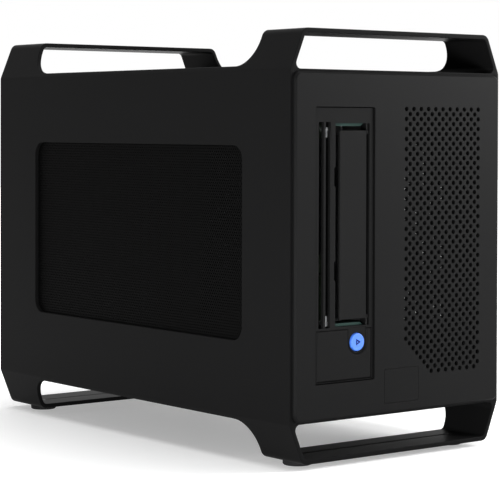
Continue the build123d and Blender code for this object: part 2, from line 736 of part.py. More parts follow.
def tongue(r):
    """U-shaped outline round the button, open at the top of the button panel."""
    x = BAY_X0 + BUTTON_X
    z = BAY_Z0 + BUTTON_Z
    top = BAY_Z0 + PANEL_Z[1] + 1.0
    return disc(x, z, r) + rect(x - r, x + r, z, top)


def button_panel():
    outline = rect(BAY_X0 + PANEL_X[0], BAY_X0 + PANEL_X[1], BAY_Z0 + PANEL_Z[0], BAY_Z0 + PANEL_Z[1])
    outline -= tongue(TONGUE_R + 0.2)
    panel = xz(outline, FACE_Y - PANEL_PROUD, FACE_Y + PANEL_SEAT)
    rim = panel.faces().sort_by(Axis.Y)[0].outer_wire().edges()
    return chamfer(rim, PANEL_CHAMFER)


def eject_button():
    face = -0.9
    back = BEZEL_WALL + CLEAR
    cap = bay_rod_y(BUTTON_X, BUTTON_Z, BUTTON_R, face, back)
    cap = fillet(cap.edges().group_by(Axis.Y)[0], 0.5)
    cap += bay_rod_y(BUTTON_X, BUTTON_Z, BUTTON_R + 1.0, back, back + 1.0)
    return cap + bay_rod_y(BUTTON_X, BUTTON_Z, 1.8, back, SWITCH_Y - BUTTON_TRAVEL - 0.2)


SWITCH_Y = 9.6


def eject_switch():
    body = bay_block(BUTTON_X - 3, BUTTON_X + 3, SWITCH_Y + 0.8, FRONT_BOARD_Y, BUTTON_Z - 3, BUTTON_Z + 3)
    return body + bay_rod_y(BUTTON_X, BUTTON_Z, 1.6, SWITCH_Y, SWITCH_Y + 1.0)


def front_boards():
    """The button's board, and the sensor board on the deck's edge."""
    button_board = bay_block(FRONT_BOARD_X0, FRONT_BOARD_X1, FRONT_BOARD_Y, FRONT_BOARD_Y + BOARD_T,
                             FRONT_BOARD_Z0, FRONT_BOARD_Z1) + eject_switch()
    x1 = DECK_X - DECK_T
    y0 = BEZEL_D + 0.6
    sensor_board = bay_block(x1 - 1.0, x1, y0, y0 + 9.0, 33.0, 57.0)
    return joined([button_board, sensor_board] + sensor_blocks())


def sensor_blocks():
    """Small sensor housings on the deck's edge, behind the first slot."""
    x1 = DECK_X - DECK_T
    y0 = BEZEL_D + 0.6
    return [bay_block(x1 - 1.8, x1, y0, y0 + 8.0, z0, z1) for z0, z1 in ((59.0, 68.5), (131.0, 139.0))]


def slot_clips():
    """Steel spring clips behind the second slot."""
    x0, x1 = SLOT_2[0] + 0.7, SLOT_2[1] + 1.1
    clips = []
    for z0, z1, side in ((131.5, 137.0, 1), (30.6, 36.0, -1)):
        z_mid = z1 - 1.0 if side > 0 else z0 + 1.0
        clip = bay_block(x0, x1, BEZEL_WALL, BEZEL_WALL + 0.6, z_mid - 1.0, z_mid + 1.0)
        clip += bay_block(x0 + 0.6, x0 + 2.0, BEZEL_WALL, BEZEL_WALL + 0.6, z0, z1)
        clip += bay_block(x1 - 0.5, x1, BEZEL_WALL, BEZEL_D + 5.0, z_mid - 1.0, z_mid + 1.0)
        clips.append(clip)
    return joined(clips)


def cartridge_door():
    x0, x1 = DOOR_X
    z0, z1 = DOOR_Z
    plate = bay_block(x0, x1, 0, DOOR_T, z0, z1)
    rim = plate.faces().sort_by(Axis.Y)[0].edges()
    door = chamfer(rim, 0.3)
    for e0, e1 in ((z0, z0 + EAR_H), (z1 - EAR_H, z1)):
        door += bay_block(x1 - 1.0, PIN_X, 0.5, DOOR_T, e0, e1)
        door += bay_rod_z(PIN_X, PIN_Y, EAR_R, e0, e1)
        door -= bay_rod_z(PIN_X, PIN_Y, PIN_R + FIT, e0 - 1, e1 + 1)
    return door


def door_hinge_pins():
    z0, z1 = DOOR_Z
    low = bay_rod_z(PIN_X, PIN_Y, PIN_R, MOUTH_Z[0] - 0.9, z0 + EAR_H - 0.2)
    high = bay_rod_z(PIN_X, PIN_Y, PIN_R, z1 - EAR_H + 0.2, MOUTH_Z[1] + 0.9)
    return joined([low, high])


def mouth_guides():
    """Slim pads at both ends of the mouth that centre the cartridge."""
    guides = []
    depth0, depth1 = DOOR_T + 1.4, BEZEL_D
    x0, x1 = MOUTH_X[0] + 1.2, MOUTH_X[0] + 20.0
    for base, tip in ((MOUTH_Z[0], MOUTH_Z[0] + 1.5), (MOUTH_Z[1], MOUTH_Z[1] - 1.5)):
        points = [(x0, base), (x1 + 2.0, base), (x1, tip), (x0, tip)]
        outline = Polygon(*[(BAY_X0 + x, BAY_Z0 + z) for x, z in points], align=None)
        guides.append(xz(outline, FACE_Y + depth0, FACE_Y + depth1))
    return joined(guides)


# Loading mechanism

def tray_z():
    inner = CARTRIDGE_W / 2 + 0.5
    return mid_z() - inner, mid_z() + inner


def cartridge_tray():
    z0, z1 = tray_z()
    t = TRAY_WALL
    x0 = tray_floor()
    x1 = x0 + t + CARTRIDGE_T + 0.6
    y0, y1 = TRAY_FRONT, TRAY_FRONT + TRAY_D
    tray = bay_block(x0, x0 + t, y0, y1, z0 - t, z1 + t)
    tray += bay_block(x0, x1 + t, y0, y1, z0 - t, z0) + bay_block(x0, x1 + t, y0, y1, z1, z1 + t)
    tray += bay_block(x1, x1 + t, y0, y1, z0 - t, z0 + 5) + bay_block(x1, x1 + t, y0, y1, z1 - 5, z1 + t)
    tray += bay_block(x0, x0 + 8, y1 - t, y1, z0 - t, z1 + t)
    tray -= yz(rounded(FACE_Y + y0 + 8, FACE_Y + y1 - 8, BAY_Z0 + mid_z() - 22, BAY_Z0 + mid_z() + 22, 10),
               BAY_X0 + x0 - 1, BAY_X0 + x0 + t + 1)
    # Nut on the loading screw
    lug_y = TRAY_FRONT + TRAY_D / 2
    lug = bay_block(LOADER_X - 4, LOADER_X + 4, lug_y - 4, lug_y + 4, LOADER_Z - 4, z0 - t / 2)
    lug -= bay_rod_y(LOADER_X, LOADER_Z, SCREW_R + FIT, lug_y - 5, lug_y + 5)
    return tray + lug


def loader_motor():
    can = bay_rod_y(LOADER_X, LOADER_Z, LOADER_MOTOR_R, MOTOR_Y0, MOTOR_Y1)
    return can - bay_rod_y(LOADER_X, LOADER_Z, SCREW_R + FIT, MOTOR_Y1 - 6.0, MOTOR_Y1 + 1)


def loader_screw():
    return bay_rod_y(LOADER_X, LOADER_Z, SCREW_R, MOTOR_Y1 - 5.7, LOADER_END + 2.7)


def disc_motor(y, z, shaft_r):
    """Flat motor stator under the deck."""
    stator = bay_rod_x(y, z, MOTOR_R, DECK_X - DECK_T - MOTOR_T, DECK_X - DECK_T)
    coils = [bay_rod_x(y + 12.5 * cos(k * pi / 3), z + 12.5 * sin(k * pi / 3), 3.0,
                       DECK_X - DECK_T - MOTOR_T - 0.8, DECK_X - DECK_T - MOTOR_T) for k in range(6)]
    for coil in coils:
        stator += coil
    return stator - bay_rod_x(y, z, shaft_r + FIT, DECK_X - DECK_T - MOTOR_T - 1, DECK_X)


SHAFT_R = 2.5


def supply_motor():
    return disc_motor(HUB_Y, hub_z(), SHAFT_R)


def supply_hub():
    """Toothed clutch disc that turns a cartridge's reel."""
    x0 = DECK_X - DECK_T + CLEAR
    x1 = tray_floor() - CLEAR
    hub = bay_rod_x(HUB_Y, hub_z(), HUB_R, x0, x1 - 0.5)
    count = 20
    z = hub_z()
    for k in range(count):
        a = 2 * pi * k / count
        y = HUB_Y + (HUB_R - 2.5) * cos(a)
        hub += bay_rod_x(y, z + (HUB_R - 2.5) * sin(a), 0.8, x1 - 0.6, x1)
    return hub + bay_rod_x(HUB_Y, z, SHAFT_R, DECK_X - DECK_T - MOTOR_T + 0.4, x0 + 0.2)


def takeup_motor():
    return disc_motor(REEL_Y, REEL_Z, SHAFT_R)


def takeup_reel():
    half = TAPE_W / 2 + 0.4
    flange = 1.2
    x0, x1 = TAPE_MID_X - half, TAPE_MID_X + half
    reel = bay_rod_x(REEL_Y, REEL_Z, REEL_HUB_R, x0, x1)
    reel += bay_rod_x(REEL_Y, REEL_Z, REEL_R, x0 - flange, x0) + bay_rod_x(REEL_Y, REEL_Z, REEL_R, x1, x1 + flange)
    for k in range(3):
        a = 2 * pi * k / 3 + pi / 6
        y = REEL_Y + 24.0 * cos(a)
        z = REEL_Z + 24.0 * sin(a)
        reel -= bay_rod_x(y, z, 7.0, x0 - flange - 1, x1 + flange + 1)
    reel += bay_rod_x(REEL_Y, REEL_Z, 5.0, DECK_X + CLEAR, x0)
    return reel + bay_rod_x(REEL_Y, REEL_Z, SHAFT_R, DECK_X - DECK_T - MOTOR_T + 0.4, DECK_X + CLEAR + 0.2)


def roller_span():
    half = TAPE_W / 2 + 0.2
    return TAPE_MID_X - half, TAPE_MID_X + half


def guide_roller(y, z):
    x0, x1 = roller_span()
    roller = bay_rod_x(y, z, ROLLER_R, x0, x1)
    roller += bay_rod_x(y, z, FLANGE_R, x0 - 1.2, x0) + bay_rod_x(y, z, FLANGE_R, x1, x1 + 1.2)
    return roller - bay_rod_x(y, z, ROLLER_PIN_R + FIT, x0 - 2, x1 + 2)


def roller_pins():
    x0, x1 = roller_span()
    pins = []
    for y, z in ROLLERS:
        pin = bay_rod_x(y, z, ROLLER_PIN_R, DECK_X, x1 + 2.0)
        pin += bay_rod_x(y, z, 2.6, DECK_X, x0 - 1.2 - CLEAR)
        pin += bay_rod_x(y, z, 2.2, x1 + 1.2 + CLEAR, x1 + 2.4)
        pins.append(pin)
    return joined(pins)


def tape_head():
    """Head block on its slide, with the rounded nose that the tape runs over."""
    x0, x1 = TAPE_MID_X - 7.5, TAPE_MID_X + 7.5
    block_z0 = HEAD_Z - 5.0
    head = bay_block(x0, x1, HEAD_Y - 9, HEAD_Y + 9, block_z0, HEAD_Z + 5)
    nose = bay_rod_x(HEAD_Y, HEAD_Z + 1.0, 8.5, x0 + 1, x1 - 1) & bay_block(x0, x1, HEAD_Y - 6, HEAD_Y + 6,
                                                                        HEAD_Z + 4.5, HEAD_Z + 9.5)
    head += nose
    head -= bay_rod_x(HEAD_Y - HEAD_SCREW_OFF, HEAD_Z, HEAD_SCREW_R + FIT, x0 - 1, x1 + 1)
    return head - bay_rod_x(HEAD_Y + HEAD_SCREW_OFF, HEAD_Z, HEAD_SCREW_R + FIT, x0 - 1, x1 + 1)


def head_guide():
    """Rod that the head slides on, and the arm that holds the far ends of rod and screw."""
    top = TAPE_MID_X + 7.5 + HEAD_TRAVEL + 0.5
    guide = bay_rod_x(HEAD_Y - HEAD_SCREW_OFF, HEAD_Z, HEAD_SCREW_R, DECK_X, top + 1.0)
    arm = bay_block(top, top + 1.2, HEAD_Y - 9, HEAD_Y + 9, HEAD_Z - 8, HEAD_Z + 3)
    arm -= bay_rod_x(HEAD_Y + HEAD_SCREW_OFF, HEAD_Z, HEAD_SCREW_R + FIT, top - 1, top + 3)
    arm += bay_block(DECK_X, top + 1.2, HEAD_Y - 4, HEAD_Y + 4, HEAD_Z - 8, HEAD_Z - 5.6)
    return guide + arm


def head_screw():
    top = TAPE_MID_X + 7.5 + HEAD_TRAVEL + 0.5
    return bay_rod_x(HEAD_Y + HEAD_SCREW_OFF, HEAD_Z, HEAD_SCREW_R, DECK_X - DECK_T - 4.0, top + 1.0)


def head_motor():
    can = bay_rod_x(HEAD_Y + HEAD_SCREW_OFF, HEAD_Z, 6.0, DECK_X - DECK_T - MOTOR_T, DECK_X - DECK_T)
    return can - bay_rod_x(HEAD_Y + HEAD_SCREW_OFF, HEAD_Z, HEAD_SCREW_R + FIT, DECK_X - DECK_T - 4.3, DECK_X)


def threader_rail():
    """Rail between the cartridge and the take-up reel, on two posts."""
    x = RAIL_X
    low = THREADER_Z - THREADER_TRAVEL - 4.0 - 3.5
    high = THREADER_Z + 4.0 + 1.0
    rail = bay_rod_z(x, THREADER_Y, 1.25, low, high)
    for z0, z1 in ((low - 1.0, low + 2.0), (high - 0.5, high + 1.5)):
        rail += bay_block(DECK_X, x + 1.8, THREADER_Y - 1.6, THREADER_Y + 1.6, z0, z1)
    return rail


RAIL_X = 37.0


def threader():
    """Carriage that draws the tape's leader pin from the cartridge to the reel."""
    arm = bay_block(TAPE_MID_X - 8, RAIL_X + 2.5, THREADER_Y - 2.0, THREADER_Y + 2.0, THREADER_Z - 4, THREADER_Z + 4)
    x0, x1 = TAPE_MID_X - 6.8, TAPE_MID_X + 6.8
    arm -= bay_block(x0, x1, THREADER_Y - 3, THREADER_Y + 0.6, THREADER_Z - 2, THREADER_Z + 2)
    return arm - bay_rod_z(RAIL_X, THREADER_Y, 1.25 + FIT, THREADER_Z - 5, THREADER_Z + 5)


BOARD_LEVEL = 3.0         # left face of the drive's board, from the bay's left edge


# Chips of the main board: middle in y and z, width and height
CHIPS = ((40, 50, 24, 24), (40, 100, 18, 14), (80, 30, 14, 20), (110, 105, 22, 22), (150, 100, 14, 30))


def main_board():
    """The drive's electronics under the deck, with its chips and rear connectors."""
    x0, x1 = BOARD_LEVEL, BOARD_LEVEL + BOARD_T
    y0, y1 = BEZEL_D + 3.0, DRIVE_Y1 - CAST_T - 0.4
    board = bay_block(x0, x1, y0, y1, 12.0, 136.0)
    for cy, cz, w, h in CHIPS:
        board += bay_block(x0 - 1.2, x0, cy - w / 2, cy + w / 2, cz - h / 2, cz + h / 2)
    for y in (60.0, 120.0, 185.0):
        board += bay_rod_x(y, 20.0, 2.2, x1, DECK_X - DECK_T)
        board += bay_rod_x(y, 128.0, 2.2, x1, DECK_X - DECK_T)
    px0, px1 = connector_x()
    for z, half in ((REAR_POWER_Z, 9.5), (REAR_DATA_Z, 11.5)):
        board += bay_block(px0 + 0.4, px1 - 0.4, y1 - 8.0, DRIVE_Y1, z - half, z + half)
    return board


# Power supply

def psu_case():
    x0, x1, z1 = psu_box()
    y0, y1 = REAR_Y - PSU_D, REAR_Y
    w = PSU_WALL
    case = block(x0, x1, y0, y1, FLOOR_Z, FLOOR_Z + w)
    front = block(x0 + w, x1 - w, y0, y0 + w, FLOOR_Z, z1 - w)
    fan_x, fan_z = psu_fan_centre()
    front -= rod_y(fan_x, fan_z, PSU_FAN / 2 + 0.5, y0 - 1, y0 + w + 1)
    rear = block(x0 + w, x1 - w, y1 - w, y1, FLOOR_Z, z1 - w)
    ix, iz = inlet_centre()
    rear -= block(ix - INLET_W / 2, ix + INLET_W / 2, y1 - w - 1, y1 + 1, iz - INLET_H / 2, iz + INLET_H / 2)
    sx, sz = switch_centre()
    rear -= block(sx - SWITCH_W / 2, sx + SWITCH_W / 2, y1 - w - 1, y1 + 1, sz - SWITCH_H / 2, sz + SWITCH_H / 2)
    return case + front + rear


def psu_cover():
    x0, x1, z1 = psu_box()
    y0, y1 = REAR_Y - PSU_D, REAR_Y
    w = PSU_WALL
    outer = rect(x0, x1, FLOOR_Z + w, z1) - rect(x0 + w, x1 - w, FLOOR_Z, z1 - w)
    return xz(outer, y0, y1)


def psu_fan_centre():
    return (PSU_X0 + PSU_X1) / 2, FLOOR_Z + PSU_H / 2


def fan_frame(x, z, size, radius, y0, y1, hub_r, axle_r):
    """Square fan housing with its strut cross, motor boss and axle."""
    frame = xz(rounded(x - size / 2, x + size / 2, z - size / 2, z + size / 2, 3.0) - disc(x, z, radius), y0, y1)
    strut = min(2.5, (y1 - y0) / 5)
    cross = rect(x - radius - 0.5, x + radius + 0.5, z - 1.5, z + 1.5)
    cross += rect(x - 1.5, x + 1.5, z - radius - 0.5, z + radius + 0.5)
    cross += disc(x, z, hub_r)
    frame += xz(cross, y0, y0 + strut)
    return frame + rod_y(x, z, axle_r, y0, y1 - 3.0)


def fan_rotor(x, z, radius, y0, y1, hub_r, axle_r):
    """Hub with pitched blades, open at the back for the axle."""
    depth = y1 - y0
    hub = rod_y(x, z, hub_r, y0, y1)
    hub = fillet(hub.edges().group_by(Axis.Y)[-1], 1.0)
    blade_len = radius - hub_r + 1.0
    blades = []
    for k in range(BLADES):
        blade = Pos(hub_r - 1.0 + blade_len / 2, 0, 0) * Rot(38, 0, 0) * Box(blade_len, 1.4, radius * 0.62)
        blades.append(Rot(0, k * 360 / BLADES, 0) * blade)
    limit = rod_y(0, 0, radius, -depth / 2 + 0.4, depth / 2 - 0.4) - rod_y(0, 0, hub_r - 0.8, -depth, depth)
    rotor = hub
    for blade in blades:
        rotor += Pos(x, (y0 + y1) / 2, z) * (blade & limit)
    return rotor - rod_y(x, z, axle_r + FIT, y0 - 1, y1 - 1.5)


PSU_FAN_D = 15.0


def psu_fan_frame():
    x, z = psu_fan_centre()
    y0 = REAR_Y - PSU_D + PSU_WALL
    return fan_frame(x, z, PSU_FAN + 2, PSU_FAN / 2 - 0.8, y0, y0 + PSU_FAN_D, 7.0, 1.0)


def psu_fan_rotor():
    x, z = psu_fan_centre()
    y0 = REAR_Y - PSU_D + PSU_WALL
    return fan_rotor(x, z, PSU_FAN / 2 - 1.6, y0 + 3.4, y0 + PSU_FAN_D - 0.6, 7.5, 1.0)


def psu_board():
    """Circuit board of the power supply with its transformer, heat sinks and capacitors."""
    x0, x1, z1 = psu_box()
    y0, y1 = REAR_Y - PSU_D + PSU_WALL + PSU_FAN_D + 4, REAR_Y - 24.0
    z0 = FLOOR_Z + PSU_WALL + 4.0
    board = block(x0 + 3, x1 - 3, y0, y1, z0, z0 + BOARD_T)
    top = z0 + BOARD_T
    board += block(x0 + 26, x0 + 52, y0 + 34, y0 + 66, top, top + 26)
    board += block(x0 + 58, x0 + 60, y0 + 10, y0 + 90, top, top + 28)
    board += block(x0 + 20, x0 + 22, y0 + 10, y0 + 90, top, top + 28)
    for k in range(4):
        board += rod_z(x0 + 12, y0 + 14 + k * 22, 6.0, top, top + 22)
    for sx in (x0 + 8, x1 - 8):
        for y in (y0 + 5, y1 - 5):
            board += rod_z(sx, y, 2.5, FLOOR_Z + PSU_WALL, z0)
    return board


def power_entry():
    """Inlet with its three pins and the rocker's housing beside it, in one moulding."""
    x, z = inlet_centre()
    sx, sz = switch_centre()
    y1 = REAR_Y + PANEL_T + 1.0
    lip = rounded(sx - SWITCH_W / 2 - 1.5, x + INLET_W / 2 + 1.5, z - INLET_H / 2 - 1.5, z + INLET_H / 2 + 1.5, 2.0)
    body = xz(lip, REAR_Y + PANEL_T, y1)
    body += block(x - INLET_W / 2, x + INLET_W / 2, REAR_Y - 18.0, y1 - 0.5, z - INLET_H / 2, z + INLET_H / 2)
    body += block(sx - SWITCH_W / 2, sx + SWITCH_W / 2, REAR_Y - 12.0, y1 - 0.5, sz - SWITCH_H / 2, sz + SWITCH_H / 2)
    body -= xz(rounded(x - 12, x + 12, z - 8.5, z + 8.5, 2.5), REAR_Y - 16.0, y1 + 1)
    for dx, dz in ((-7.0, 1.0), (7.0, 1.0), (0.0, 4.5)):
        body += block(x + dx - 1, x + dx + 1, REAR_Y - 16.5, REAR_Y - 1.5, z + dz - 2, z + dz + 2)
    well = 1.2
    body -= block(sx - SWITCH_W / 2 + well, sx + SWITCH_W / 2 - well, REAR_Y - 8.0, y1 + 1,
                  sz - SWITCH_H / 2 + well, sz + SWITCH_H / 2 - well)
    return body - rod_z(sx, ROCKER_Y, ROCKER_PIN_R + FIT, sz - SWITCH_H / 2 + 0.4, sz + SWITCH_H / 2 - 0.4)


ROCKER_Y = REAR_Y - 1.0
ROCKER_PIN_R = 0.8
ROCKER_TILT = 12.0


def power_rocker():
    """Rocker on a vertical axle, pressed in at its right end when off."""
    x, z = switch_centre()
    half = SWITCH_W / 2 - 2.0
    height = SWITCH_H / 2 - 1.5
    face = ROCKER_Y + 3.0
    points = [(x - half, ROCKER_Y - 0.5), (x, ROCKER_Y - 2.0), (x + half, ROCKER_Y - 0.5),
              (x + half, face + 0.4), (x, face - 0.6), (x - half, face + 0.4)]
    rocker = xy(Polygon(*points, align=None), z - height, z + height)
    rocker += rod_z(x, ROCKER_Y, ROCKER_PIN_R, z - height - 0.6, z + height + 0.6)
    return Pos(x, ROCKER_Y, 0) * Rot(0, 0, -ROCKER_TILT / 2) * Pos(-x, -ROCKER_Y, 0) * rocker


# Rear fan

FAN_HOLE = FAN / 2 - 4.25


def rear_fan_frame():
    x, z = fan_centre()
    frame = fan_frame(x, z, FAN, FAN / 2 - FAN_LIP, REAR_Y - FAN_D, REAR_Y, 16.0, 1.5)
    for sx in (-1, 1):
        for sz in (-1, 1):
            frame -= rod_y(x + sx * FAN_HOLE, z + sz * FAN_HOLE, 2.0, REAR_Y - FAN_D - 1, REAR_Y + 1)
    return frame


def rear_fan_rotor():
    x, z = fan_centre()
    return fan_rotor(x, z, FAN / 2 - FAN_LIP - 1.0, REAR_Y - FAN_D + 3.2, REAR_Y - 1.0, 17.0, 1.5)


def fan_screws():
    x, z = fan_centre()
    return joined([screw(x + sx * FAN_HOLE, REAR_Y + PANEL_T, z + sz * FAN_HOLE, (0, -1, 0), 12.0, 1.9, 3.6, 1.6)
                   for sx in (-1, 1) for sz in (-1, 1)])


# Bridge board with the sockets

BOARD_D = 58.0
BOARD_Z = (78.0, 184.0)
BRACKET_X = 28.0


def bridge_board():
    x0 = LEFT + BOARD_X
    y1 = REAR_Y - 0.4
    board = block(x0, x0 + BOARD_T, y1 - BOARD_D, y1, BASE + BOARD_Z[0], BASE + BOARD_Z[1])
    side = x0 + BOARD_T
    board += block(side, side + 1.4, y1 - 45, y1 - 31, BASE + 96, BASE + 110)
    board += block(side, side + 6.0, CABLE_END_Y - 5, CABLE_END_Y + 5, CABLE_END_Z - 12, CABLE_END_Z)
    for k in range(5):
        board += rod_x(y1 - 20 - 8 * k, BASE + 84, 2.5, side, side + 7.0)
    return board


def board_bracket():
    """Angle that holds the bridge board, screwed to the case's floor, with its four stand-offs."""
    x0 = LEFT + BRACKET_X
    y1 = REAR_Y - FRAME_D - 1.0
    y0 = REAR_Y - BOARD_D
    bracket = block(x0, x0 + 1.2, y0, y1, FLOOR_Z, BASE + BOARD_Z[1])
    bracket += block(x0, x0 + 12.0, y0, y1, FLOOR_Z, FLOOR_Z + 1.2)
    for y in (y0 + 5, y1 - 5):
        for z in (BASE + BOARD_Z[0] + 5, BASE + BOARD_Z[1] - 5):
            bracket += rod_x(y, z, 2.5, x0, LEFT + BOARD_X)
    return bracket


def heat_sink():
    x0 = LEFT + BOARD_X + BOARD_T
    y1 = REAR_Y - 0.4
    y0 = y1 - 52
    z0, z1 = BASE + 114, BASE + 148
    y_end = y1 - 26
    sink = block(x0, x0 + 2.0, y0, y_end, z0, z1)
    fins = 8
    for k in range(fins):
        z = z0 + k * (z1 - z0 - 1.2) / (fins - 1)
        sink += block(x0 + 1.5, x0 + 12.0, y0, y_end, z, z + 1.2)
    return sink


def usb_sockets():
    x0 = LEFT + BOARD_X + BOARD_T
    y1 = REAR_Y + PANEL_T + 0.3
    sockets = []
    for z in USB_Z:
        shell = rounded(x0, x0 + USB_W, BASE + z - USB_H / 2, BASE + z + USB_H / 2, 1.2)
        cavity = rounded(x0 + 0.3, x0 + USB_W - 0.3, BASE + z - USB_H / 2 + 0.3, BASE + z + USB_H / 2 - 0.3, 1.1)
        socket = xz(shell, y1 - 9.0, y1) - xz(cavity, y1 - 8.0, y1 + 1)
        middle = x0 + USB_W / 2
        socket += block(middle - 0.35, middle + 0.35, y1 - 8.5, y1 - 1.0, BASE + z - 3.3, BASE + z + 3.3)
        sockets.append(socket)
    return joined(sockets)


def sas_socket():
    x0 = LEFT + BOARD_X + BOARD_T
    y1 = REAR_Y + PANEL_T + 0.3
    z0, z1 = BASE + SAS_Z - SAS_H / 2, BASE + SAS_Z + SAS_H / 2
    cage = block(x0, x0 + SAS_W, y1 - 22.0, y1, z0, z1)
    cage -= block(x0 + 0.8, x0 + SAS_W - 0.8, y1 - 20.0, y1 + 1, z0 + 0.8, z1 - 0.8)
    return cage + block(x0 + 2.0, x0 + 4.0, y1 - 21.0, y1 - 12.0, z0 + 3, z1 - 3)


# Inner cables, each a tube along straight runs joined by arcs

def cable(points, radii, r):
    path = FilletPolyline(*points, radius=radii)
    start = Plane(origin=path @ 0, z_dir=path % 0)
    return sweep(start * Circle(r), path=path)


def plug(z, half):
    """Plug on the drive's rear wall."""
    return bay_block(DATA_PORT - 3.4, DATA_PORT + 3.4, DRIVE_Y1, DRIVE_Y1 + PLUG_D, z - half, z + half)


def data_cable():
    x = BAY_X0 + DATA_PORT
    y = FACE_Y + DRIVE_Y1 + PLUG_D / 2
    half = 11.0
    start = BAY_Z0 + REAR_DATA_Z + half - 0.5
    high = CABLE_END_Z + 33.0
    end_x = LEFT + BOARD_X + BOARD_T + 3.0
    points = [(x, y, start), (x, y, high), (end_x, CABLE_END_Y, high), (end_x, CABLE_END_Y, CABLE_END_Z)]
    return cable(points, [22.0, 14.8], 1.5) + plug(REAR_DATA_Z, half)


def power_cable():
    x = BAY_X0 + DATA_PORT
    y = FACE_Y + DRIVE_Y1 + PLUG_D / 2
    half = 9.0
    start = BAY_Z0 + REAR_POWER_Z - half + 0.5
    low = FLOOR_Z + 10.5
    points = [(x, y, start), (x, y, low), (PSU_X0, y, low)]
    return cable(points, [12.6], 1.25) + plug(REAR_POWER_Z, half)


DATA_PORT = 6.7
PLUG_D = 8.0
CABLE_END_Y = 112.0
CABLE_END_Z = 167.0


# Every sub-part by name

PARTS = {
    "outer_shell": outer_shell,
    "left_mesh": lambda: side_mesh(-1),
    "right_mesh": lambda: side_mesh(1),
    "foot_screws": foot_screws,
    "front_plate": front_plate,
    "badge_plate": badge_plate,
    "front_frame": front_frame,
    "plate_nuts": plate_nuts,
    "rear_frame": rear_frame,
    "rear_panel": rear_panel,
    "rear_screws": lambda: joined([rear_panel_screws(), fan_screws()]),
    "drive_cradle": drive_cradle,
    "cradle_screws": lambda: joined([cradle_screws(), drive_screws()]),
    "drive_chassis": drive_chassis,
    "drive_left_cover": lambda: drive_cover(True),
    "drive_right_cover": lambda: drive_cover(False),
    "cover_screws": cover_screws,
    "drive_bezel": drive_bezel,
    "button_panel": button_panel,
    "eject_button": eject_button,
    "front_boards": front_boards,
    "slot_clips": slot_clips,
    "cartridge_door": cartridge_door,
    "door_hinge_pins": door_hinge_pins,
    "mouth_guides": mouth_guides,
    "cartridge_tray": cartridge_tray,
    "loader_motor": loader_motor,
    "loader_screw": loader_screw,
    "reel_motors": lambda: joined([supply_motor(), takeup_motor()]),
    "supply_hub": supply_hub,
    "takeup_reel": takeup_reel,
    "roller_pins": roller_pins,
    "tape_head": tape_head,
    "head_guide": head_guide,
    "head_screw": head_screw,
    "head_motor": head_motor,
    "threader_rail": threader_rail,
    "threader": threader,
    "main_board": main_board,
    "psu_case": psu_case,
    "psu_cover": psu_cover,
    "psu_fan_frame": psu_fan_frame,
    "psu_fan_rotor": psu_fan_rotor,
    "psu_board": psu_board,
    "power_entry": power_entry,
    "power_rocker": power_rocker,
    "rear_fan_frame": rear_fan_frame,
    "rear_fan_rotor": rear_fan_rotor,
    "bridge_board": lambda: bridge_board() + heat_sink(),
    "board_bracket": board_bracket,
    "data_sockets": lambda: joined([usb_sockets(), sas_socket()]),
    "inner_cables": lambda: joined([data_cable(), power_cable()]),
}
FEET = ("foot_front_left", "foot_front_right", "foot_rear_left", "foot_rear_right")


def main():
    os.makedirs("parts", exist_ok=True)
    for name, make in PARTS.items():
        export_step(make(), f"parts/{name}.step")
    for name, (x, y) in zip(FEET, foot_places()):
        export_step(foot(x, y), f"parts/{name}.step")
    for number, (y, z) in enumerate(ROLLERS, 1):
        export_step(guide_roller(y, z), f"parts/guide_roller_{number}.step")


if __name__ == "__main__":
    main()
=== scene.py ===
from math import cos, radians, sin, sqrt

import bpy
from mathutils import Matrix, Vector


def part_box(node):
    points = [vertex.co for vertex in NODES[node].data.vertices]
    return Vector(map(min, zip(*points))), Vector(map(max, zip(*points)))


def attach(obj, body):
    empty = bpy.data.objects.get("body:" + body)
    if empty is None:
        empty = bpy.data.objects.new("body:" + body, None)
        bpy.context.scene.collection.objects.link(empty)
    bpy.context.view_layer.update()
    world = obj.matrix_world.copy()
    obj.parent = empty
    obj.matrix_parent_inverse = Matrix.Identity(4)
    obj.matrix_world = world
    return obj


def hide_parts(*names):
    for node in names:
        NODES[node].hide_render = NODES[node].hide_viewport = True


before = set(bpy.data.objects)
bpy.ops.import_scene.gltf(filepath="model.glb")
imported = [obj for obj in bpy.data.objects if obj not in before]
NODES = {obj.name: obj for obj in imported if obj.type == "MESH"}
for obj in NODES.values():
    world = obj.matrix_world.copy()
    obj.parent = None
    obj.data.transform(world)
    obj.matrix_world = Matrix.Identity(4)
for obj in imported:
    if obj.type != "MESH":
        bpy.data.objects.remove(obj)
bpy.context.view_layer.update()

MM = 0.001


# Camera: the place and lens that the photograph was taken with

YAW = 38.19             # degrees: turned from straight ahead to the right
PITCH = 0.833           # down
ROLL = 0.138
EYE = (-0.71392, -0.93033, 0.18297)
LENS = 138.37
SENSOR = 36.0
SHIFT_X = -0.01776
SHIFT_Y = -0.19276
NEAR = 0.05
FAR = 50.0


def set_camera():
    yaw, pitch, roll = radians(YAW), radians(PITCH), radians(ROLL)
    ahead = Vector((sin(yaw) * cos(pitch), cos(yaw) * cos(pitch), -sin(pitch)))
    right = Vector((cos(yaw), -sin(yaw), 0.0))
    up = right.cross(ahead)
    right, up = cos(roll) * right + sin(roll) * up, cos(roll) * up - sin(roll) * right
    turn = Matrix((right, up, -ahead)).transposed().to_4x4()
    data = bpy.data.cameras.new("camera")
    data.sensor_width = SENSOR
    data.lens = LENS
    data.shift_x = SHIFT_X
    data.shift_y = SHIFT_Y
    data.clip_start = NEAR
    data.clip_end = FAR
    camera = bpy.data.objects.new("camera", data)
    bpy.context.scene.collection.objects.link(camera)
    camera.matrix_world = Matrix.Translation(EYE) @ turn
    bpy.context.scene.camera = camera


# Shader maths: a Wire is one socket, a Paint is one material with its Principled shader

